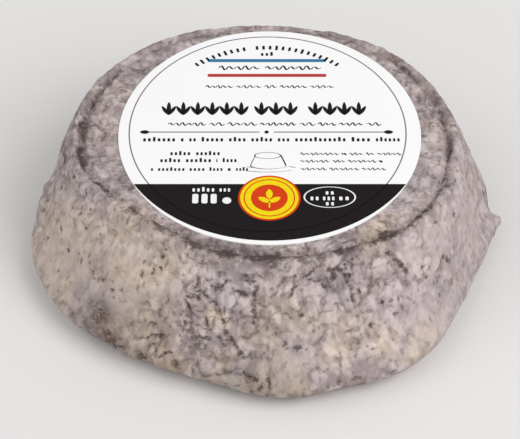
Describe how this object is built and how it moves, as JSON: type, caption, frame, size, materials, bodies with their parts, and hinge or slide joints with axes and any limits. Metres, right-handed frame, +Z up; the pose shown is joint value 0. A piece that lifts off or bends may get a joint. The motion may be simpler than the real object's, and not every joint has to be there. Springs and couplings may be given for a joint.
{
  "type": "selles-sur-cher goat cheese",
  "caption": "Hand-moulded goat cheese in the form of a low truncated cone with an ash-grey mouldy rind, a creased top edge and a round paper label on its flat top.",
  "frame": {"origin": "on the table plane, in the middle of the cheese's bounding box", "axes": "+Z up from the table through the label, -Y towards the front where the label reads upright, +X to the label's right"},
  "size_m": [0.0938, 0.0914, 0.0262],
  "materials": {
    "rind": "matt, mottled ash-grey and cream mould with fine dark cracks",
    "paper": "smooth printed white paper"
  },
  "bodies": {
    "root": {"cheese": "rind", "label": "paper"}
  },
  "joints": []
}
